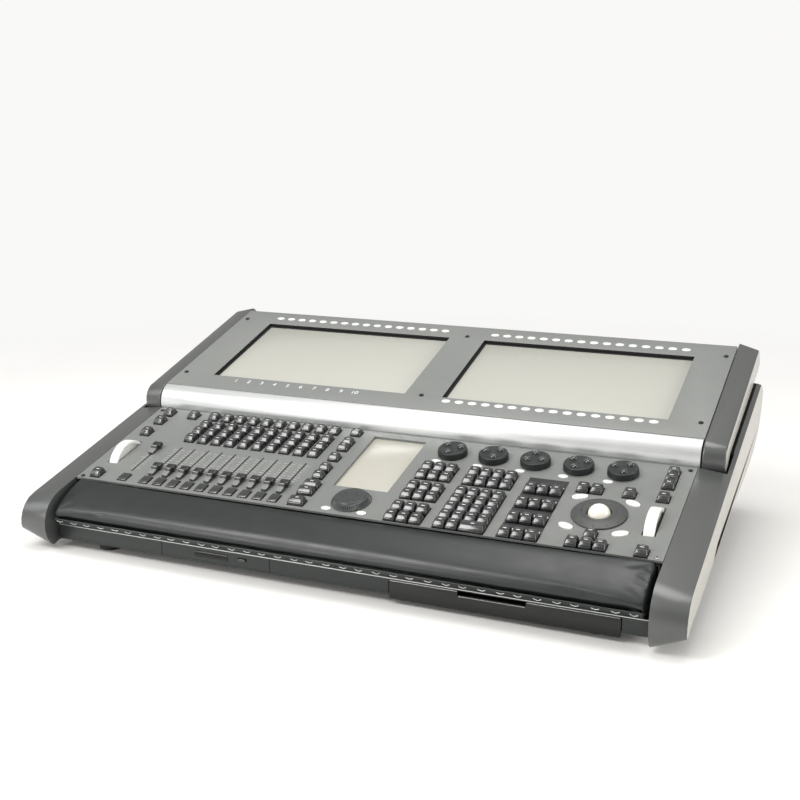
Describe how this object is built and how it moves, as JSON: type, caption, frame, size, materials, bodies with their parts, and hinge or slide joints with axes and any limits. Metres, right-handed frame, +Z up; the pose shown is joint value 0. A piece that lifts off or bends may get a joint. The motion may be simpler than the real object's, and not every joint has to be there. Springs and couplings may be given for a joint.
{
  "type": "lighting control desk",
  "caption": "Sloping stage lighting control desk with fader strips, key banks, rotary encoders, a jog wheel, a trackball, a palm rest, a keyboard drawer and a tilting touch-screen head.",
  "frame": {"origin": "centre of the footprint, on the surface the rubber feet stand on", "axes": "+X to the operator's right, +Y away from the operator towards the rear panel, +Z up"},
  "size_m": [0.9, 0.5918, 0.2493],
  "materials": {
    "panel": "fine satin grey powder coat on folded steel",
    "cheek": "satin mid-grey moulded skin",
    "palm_vinyl": "charcoal vinyl stretched over foam",
    "dark_metal": "black textured powder coat on folded steel",
    "key_plastic": "glossy black keycap",
    "fader_cap": "satin black fader cap with a pale index ridge",
    "knob": "soft-touch charcoal knob",
    "white_plastic": "glossy white plastic",
    "ball": "polished cream resin ball",
    "ring": "satin dark grey ring",
    "bright_bar": "brushed bright aluminium",
    "screen": "pale touch screen panel, lit blank",
    "steel": "plain zinc-plated steel",
    "cast_case": "plain aluminium case",
    "circuit_board": "green solder-masked circuit board",
    "foot_rubber": "black moulded rubber"
  },
  "bodies": {
    "base": {"base_tray": "dark_metal", "control_panel": "panel", "rear_deck": "panel", "left_cheek": "cheek", "right_cheek": "cheek", "palm_rest": "palm_vinyl", "front_fascia": "dark_metal", "drawer_runners": "steel", "rear_panel": "dark_metal", "power_supply": "cast_case", "main_board": "circuit_board", "control_board": "circuit_board", "media_drive": "dark_metal", "fader_bank": "steel", "panel_lcd": "screen", "trackball_cup": "dark_metal", "foot_front": "foot_rubber", "foot_rear": "foot_rubber"},
    "head": {"head_shell": "dark_metal", "head_bezel": "panel", "silver_bar": "bright_bar", "head_left_cheek": "cheek", "head_right_cheek": "cheek", "left_screen": "screen", "right_screen": "screen"},
    "drawer": {"keyboard_drawer": "dark_metal", "keyboard": "key_plastic"},
    "grand_master_fader": {"grand_master_fader": "fader_cap"},
    "jog_wheel": {"jog_wheel": "knob"},
    "trackball": {"trackball": "ball"},
    "trackball_ring": {"trackball_ring": "ring"},
    "left_thumbwheel": {"left_thumbwheel": "white_plastic"},
    "right_thumbwheel": {"right_thumbwheel": "white_plastic"},
    "encoder_1": {"encoder_1": "knob"},
    "encoder_2": {"encoder_2": "knob"},
    "encoder_3": {"encoder_3": "knob"},
    "encoder_4": {"encoder_4": "knob"},
    "encoder_5": {"encoder_5": "knob"},
    "fader_01": {"fader_01": "fader_cap"},
    "fader_02": {"fader_02": "fader_cap"},
    "fader_03": {"fader_03": "fader_cap"},
    "fader_04": {"fader_04": "fader_cap"},
    "fader_05": {"fader_05": "fader_cap"},
    "fader_06": {"fader_06": "fader_cap"},
    "fader_07": {"fader_07": "fader_cap"},
    "fader_08": {"fader_08": "fader_cap"},
    "fader_09": {"fader_09": "fader_cap"},
    "fader_10": {"fader_10": "fader_cap"},
    "playback_keys": {"playback_keys": "key_plastic"},
    "flash_keys": {"flash_keys": "key_plastic"},
    "keypad_keys": {"keypad_keys": "key_plastic"},
    "function_keys": {"function_keys": "key_plastic"},
    "centre_keys": {"centre_keys": "key_plastic"},
    "assign_keys": {"assign_keys": "key_plastic"},
    "left_keys": {"left_keys": "key_plastic"},
    "right_keys": {"right_keys": "key_plastic"},
    "trackball_keys": {"trackball_keys": "key_plastic"},
    "oval_buttons": {"oval_buttons": "white_plastic"},
    "eject_button": {"eject_button": "key_plastic"},
    "power_switch": {"power_switch": "key_plastic"}
  },
  "joints": [
    {"name": "head_tilt", "type": "hinge", "parent": "base", "child": "head", "pos_m": [0, 0.0156, 0.14503], "axis": [1, 0, 0], "range_deg": [0, 60]},
    {"name": "drawer_slide", "type": "slide", "parent": "base", "child": "drawer", "axis": [0, -1, 0], "range_m": [0, 0.14]},
    {"name": "grand_master_travel", "type": "slide", "parent": "base", "child": "grand_master_fader", "axis": [0, 0.9713, 0.238], "range_m": [-0.053, 0.007]},
    {"name": "jog_turn", "type": "hinge", "parent": "base", "child": "jog_wheel", "pos_m": [0.0015, -0.19225, 0.09409], "axis": [0, -0.238, 0.9713], "continuous": true},
    {"name": "trackball_roll", "type": "hinge", "parent": "base", "child": "trackball", "pos_m": [0.3142, -0.14823, 0.10437], "axis": [1, 0, 0], "continuous": true},
    {"name": "trackball_ring_turn", "type": "hinge", "parent": "base", "child": "trackball_ring", "pos_m": [0.3142, -0.14835, 0.10485], "axis": [0, -0.238, 0.9713], "continuous": true},
    {"name": "left_thumbwheel_roll", "type": "hinge", "parent": "base", "child": "left_thumbwheel", "pos_m": [-0.3805, -0.14162, 0.08076], "axis": [1, 0, 0], "continuous": true},
    {"name": "right_thumbwheel_roll", "type": "hinge", "parent": "base", "child": "right_thumbwheel", "pos_m": [0.3805, -0.14162, 0.08076], "axis": [1, 0, 0], "continuous": true},
    {"name": "encoder_1_turn", "type": "hinge", "parent": "base", "child": "encoder_1", "pos_m": [0.086, -0.04899, 0.1292], "axis": [0, -0.238, 0.9713], "continuous": true},
    {"name": "encoder_2_turn", "type": "hinge", "parent": "base", "child": "encoder_2", "pos_m": [0.1444, -0.04899, 0.1292], "axis": [0, -0.238, 0.9713], "continuous": true},
    {"name": "encoder_3_turn", "type": "hinge", "parent": "base", "child": "encoder_3", "pos_m": [0.2028, -0.04899, 0.1292], "axis": [0, -0.238, 0.9713], "continuous": true},
    {"name": "encoder_4_turn", "type": "hinge", "parent": "base", "child": "encoder_4", "pos_m": [0.2612, -0.04899, 0.1292], "axis": [0, -0.238, 0.9713], "continuous": true},
    {"name": "encoder_5_turn", "type": "hinge", "parent": "base", "child": "encoder_5", "pos_m": [0.3196, -0.04899, 0.1292], "axis": [0, -0.238, 0.9713], "continuous": true},
    {"name": "fader_01_travel", "type": "slide", "parent": "base", "child": "fader_01", "axis": [0, 0.9713, 0.238], "range_m": [0, 0.06]},
    {"name": "fader_02_travel", "type": "slide", "parent": "base", "child": "fader_02", "axis": [0, 0.9713, 0.238], "range_m": [0, 0.06]},
    {"name": "fader_03_travel", "type": "slide", "parent": "base", "child": "fader_03", "axis": [0, 0.9713, 0.238], "range_m": [0, 0.06]},
    {"name": "fader_04_travel", "type": "slide", "parent": "base", "child": "fader_04", "axis": [0, 0.9713, 0.238], "range_m": [0, 0.06]},
    {"name": "fader_05_travel", "type": "slide", "parent": "base", "child": "fader_05", "axis": [0, 0.9713, 0.238], "range_m": [0, 0.06]},
    {"name": "fader_06_travel", "type": "slide", "parent": "base", "child": "fader_06", "axis": [0, 0.9713, 0.238], "range_m": [0, 0.06]},
    {"name": "fader_07_travel", "type": "slide", "parent": "base", "child": "fader_07", "axis": [0, 0.9713, 0.238], "range_m": [0, 0.06]},
    {"name": "fader_08_travel", "type": "slide", "parent": "base", "child": "fader_08", "axis": [0, 0.9713, 0.238], "range_m": [0, 0.06]},
    {"name": "fader_09_travel", "type": "slide", "parent": "base", "child": "fader_09", "axis": [0, 0.9713, 0.238], "range_m": [0, 0.06]},
    {"name": "fader_10_travel", "type": "slide", "parent": "base", "child": "fader_10", "axis": [0, 0.9713, 0.238], "range_m": [0, 0.06]},
    {"name": "playback_keys_press", "type": "slide", "parent": "base", "child": "playback_keys", "axis": [0, 0.238, -0.9713], "range_m": [0, 0.002]},
    {"name": "flash_keys_press", "type": "slide", "parent": "base", "child": "flash_keys", "axis": [0, 0.238, -0.9713], "range_m": [0, 0.002]},
    {"name": "keypad_keys_press", "type": "slide", "parent": "base", "child": "keypad_keys", "axis": [0, 0.238, -0.9713], "range_m": [0, 0.002]},
    {"name": "function_keys_press", "type": "slide", "parent": "base", "child": "function_keys", "axis": [0, 0.238, -0.9713], "range_m": [0, 0.002]},
    {"name": "centre_keys_press", "type": "slide", "parent": "base", "child": "centre_keys", "axis": [0, 0.238, -0.9713], "range_m": [0, 0.002]},
    {"name": "assign_keys_press", "type": "slide", "parent": "base", "child": "assign_keys", "axis": [0, 0.238, -0.9713], "range_m": [0, 0.002]},
    {"name": "left_keys_press", "type": "slide", "parent": "base", "child": "left_keys", "axis": [0, 0.238, -0.9713], "range_m": [0, 0.002]},
    {"name": "right_keys_press", "type": "slide", "parent": "base", "child": "right_keys", "axis": [0, 0.238, -0.9713], "range_m": [0, 0.002]},
    {"name": "trackball_keys_press", "type": "slide", "parent": "base", "child": "trackball_keys", "axis": [0, 0.238, -0.9713], "range_m": [0, 0.002]},
    {"name": "oval_buttons_press", "type": "slide", "parent": "base", "child": "oval_buttons", "axis": [0, 0.238, -0.9713], "range_m": [0, 0.002]},
    {"name": "eject_button_press", "type": "slide", "parent": "base", "child": "eject_button", "axis": [0, 1, 0], "range_m": [0, 0.002]},
    {"name": "power_switch_rock", "type": "hinge", "parent": "base", "child": "power_switch", "pos_m": [0.367, 0.25723, 0.073], "axis": [1, 0, 0], "range_deg": [0, 12]}
  ]
}
